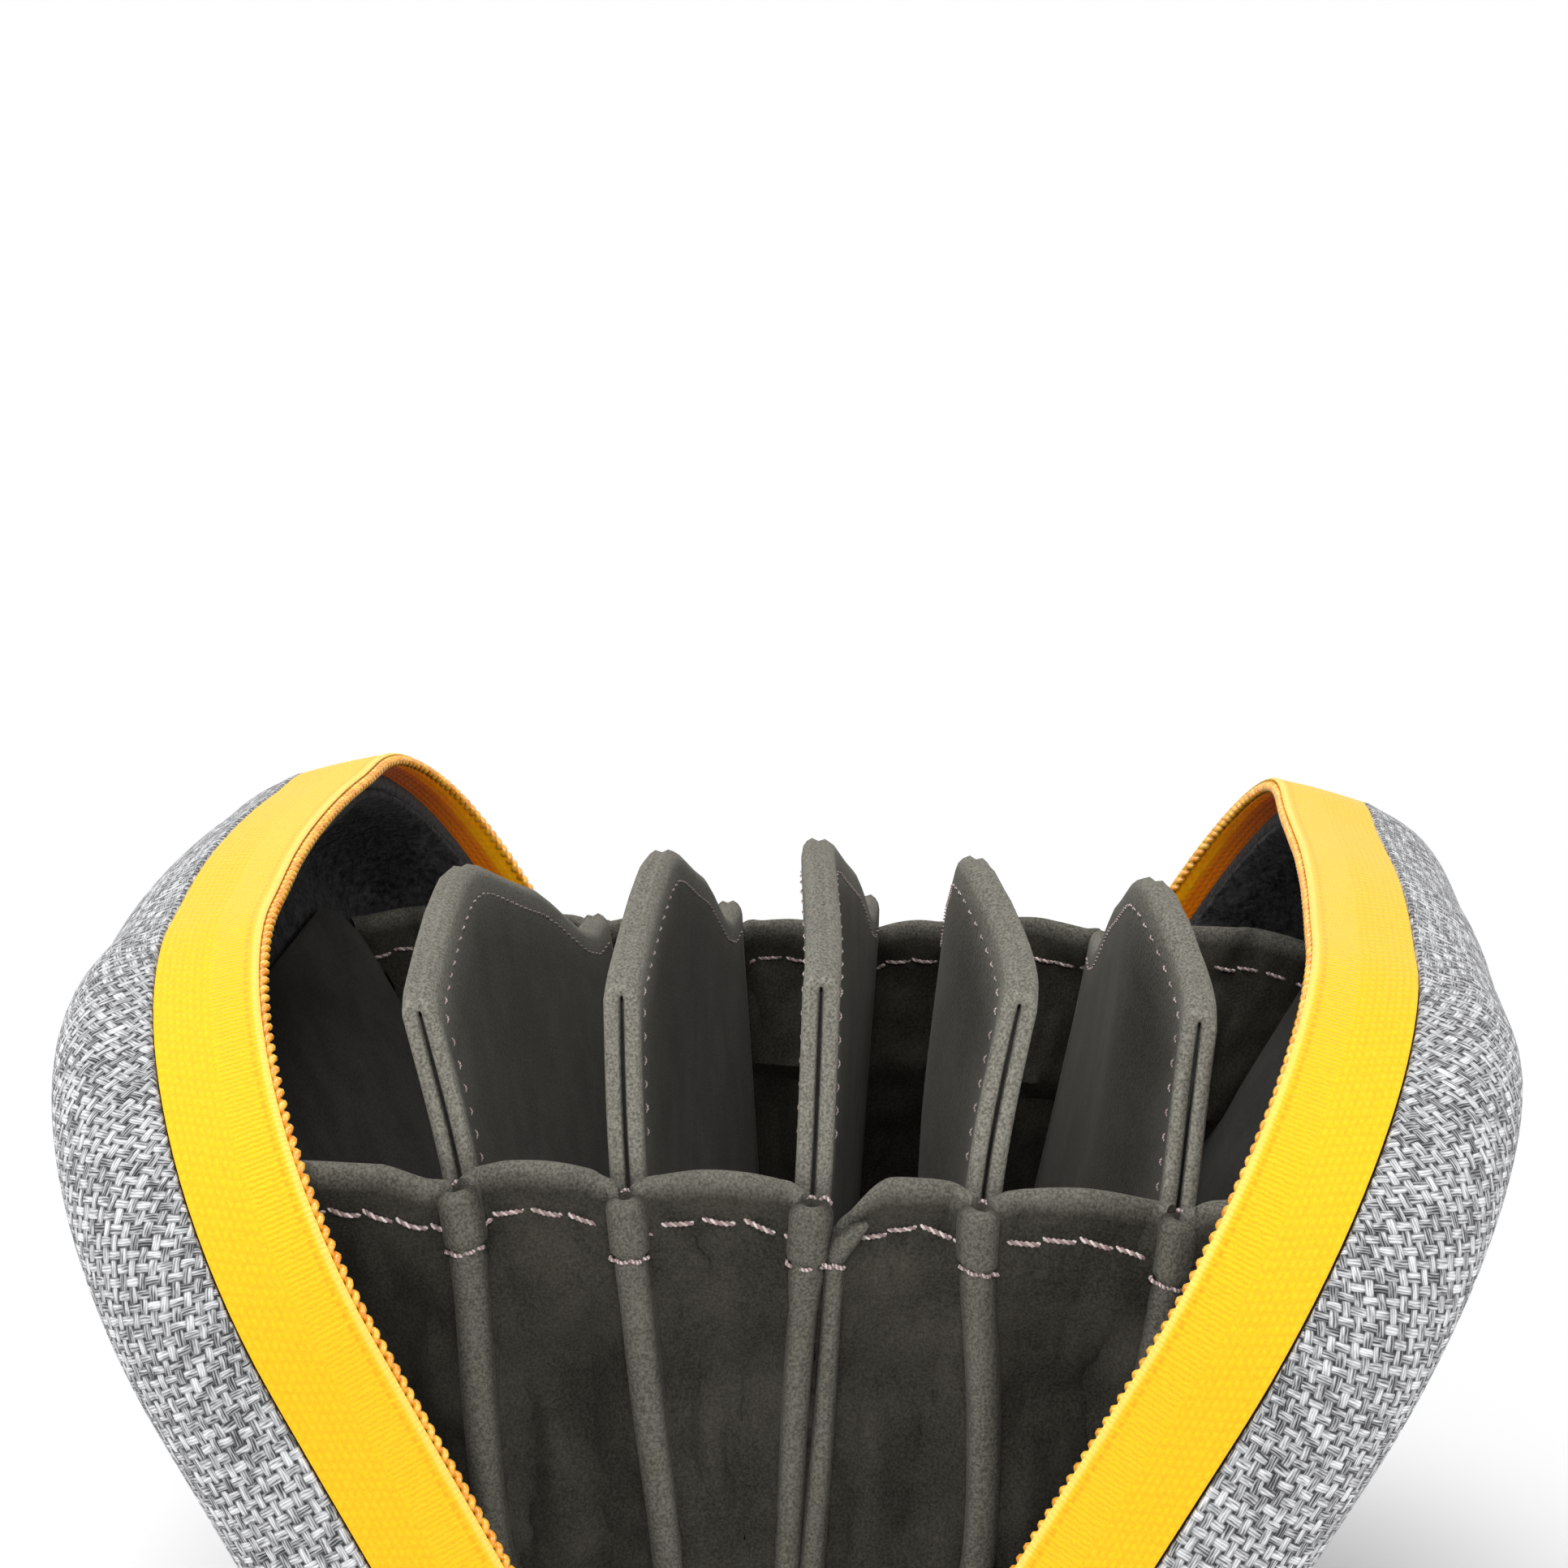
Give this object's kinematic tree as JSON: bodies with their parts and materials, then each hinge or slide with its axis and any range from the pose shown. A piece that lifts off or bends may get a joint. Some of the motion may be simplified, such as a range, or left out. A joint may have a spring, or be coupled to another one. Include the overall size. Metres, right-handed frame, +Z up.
{
  "type": "lens filter case",
  "caption": "Zip-up hard case with rounded corners, standing open in a V on the corners of its two padded halves, its pleated suede insert fanned out into pockets for round lens filters.",
  "frame": {"origin": "middle of the bounding box at table level, under the hinge line", "axes": "+Y along the hinge line towards the back of the case, +X towards the right half, +Z up"},
  "size_m": [0.1426, 0.131, 0.1108],
  "materials": {
    "grey_weave": "heathered woven polyester",
    "foam": "moulded closed-cell foam",
    "fleece": "brushed knit",
    "zip_yellow": "woven zip tape",
    "coil_orange": "nylon coil",
    "black_fabric": "woven",
    "suede": "napped microsuede",
    "board": "stiff sheet",
    "dark_metal": "dark plated zinc, satin"
  },
  "bodies": {
    "spine": {"divider_3": "suede", "divider_board_3": "board", "front_rib_3": "suede", "back_rib_3": "suede", "front_gusset_3": "suede", "back_gusset_3": "suede", "pocket_floor_3": "suede", "front_gusset_4": "suede", "back_gusset_4": "suede", "pocket_floor_4": "suede", "hinge_fold": "black_fabric", "front_slider": "dark_metal", "back_slider": "dark_metal"},
    "divider_2": {"divider_2": "suede", "divider_board_2": "board", "front_rib_2": "suede", "back_rib_2": "suede", "front_gusset_2": "suede", "back_gusset_2": "suede", "pocket_floor_2": "suede"},
    "divider_1": {"divider_1": "suede", "divider_board_1": "board", "front_rib_1": "suede", "back_rib_1": "suede", "front_gusset_1": "suede", "back_gusset_1": "suede", "pocket_floor_1": "suede"},
    "left_half": {"left_cover": "grey_weave", "left_core": "foam", "left_lining": "fleece", "left_zip_tape": "zip_yellow", "left_zip_coil": "coil_orange", "left_hinge_flap": "black_fabric", "left_end_panel": "suede"},
    "divider_4": {"divider_4": "suede", "divider_board_4": "board", "front_rib_4": "suede", "back_rib_4": "suede", "front_gusset_5": "suede", "back_gusset_5": "suede", "pocket_floor_5": "suede"},
    "divider_5": {"divider_5": "suede", "divider_board_5": "board", "front_rib_5": "suede", "back_rib_5": "suede", "front_gusset_6": "suede", "back_gusset_6": "suede", "pocket_floor_6": "suede"},
    "right_half": {"right_cover": "grey_weave", "right_core": "foam", "right_lining": "fleece", "right_zip_tape": "zip_yellow", "right_zip_coil": "coil_orange", "right_hinge_flap": "black_fabric", "right_end_panel": "suede"},
    "front_pull": {"front_pull": "dark_metal"},
    "back_pull": {"back_pull": "dark_metal"}
  },
  "joints": [
    {"name": "left_half_hinge", "type": "hinge", "parent": "divider_1", "child": "left_half", "pos_m": [0, 0, 0.01123], "axis": [0, 1, 0], "range_deg": [0, 17.9], "deforming": ["front_gusset_1", "back_gusset_1", "pocket_floor_1"]},
    {"name": "divider_1_hinge", "type": "hinge", "parent": "divider_2", "child": "divider_1", "pos_m": [0, 0, 0.01123], "axis": [0, 1, 0], "range_deg": [0, 6.6], "deforming": ["front_gusset_2", "back_gusset_2", "pocket_floor_2"]},
    {"name": "divider_2_hinge", "type": "hinge", "parent": "spine", "child": "divider_2", "pos_m": [0, 0, 0.01123], "axis": [0, 1, 0], "range_deg": [0, 6.8], "deforming": ["front_gusset_3", "back_gusset_3", "pocket_floor_3"]},
    {"name": "divider_4_hinge", "type": "hinge", "parent": "spine", "child": "divider_4", "pos_m": [0, 0, 0.01123], "axis": [0, -1, 0], "range_deg": [0, 7], "deforming": ["front_gusset_4", "back_gusset_4", "pocket_floor_4"]},
    {"name": "divider_5_hinge", "type": "hinge", "parent": "divider_4", "child": "divider_5", "pos_m": [0, 0, 0.01123], "axis": [0, -1, 0], "range_deg": [0, 5.2], "deforming": ["front_gusset_5", "back_gusset_5", "pocket_floor_5"]},
    {"name": "right_half_hinge", "type": "hinge", "parent": "divider_5", "child": "right_half", "pos_m": [0, 0, 0.01123], "axis": [0, -1, 0], "range_deg": [0, 13.3], "deforming": ["front_gusset_6", "back_gusset_6", "pocket_floor_6"]},
    {"name": "front_pull_pivot", "type": "hinge", "parent": "spine", "child": "front_pull", "pos_m": [0, -0.03442, 0.00674], "axis": [1, 0, 0], "range_deg": [-20, 150]},
    {"name": "back_pull_pivot", "type": "hinge", "parent": "spine", "child": "back_pull", "pos_m": [0, 0.03442, 0.00674], "axis": [-1, 0, 0], "range_deg": [-20, 150]}
  ],
  "couplings": [
    {"joint": "divider_1_hinge", "follows": "left_half_hinge", "ratio": 0.36872},
    {"joint": "divider_2_hinge", "follows": "left_half_hinge", "ratio": 0.37989},
    {"joint": "divider_4_hinge", "follows": "left_half_hinge", "ratio": 0.39106},
    {"joint": "divider_5_hinge", "follows": "left_half_hinge", "ratio": 0.2905},
    {"joint": "right_half_hinge", "follows": "left_half_hinge", "ratio": 0.74302}
  ]
}
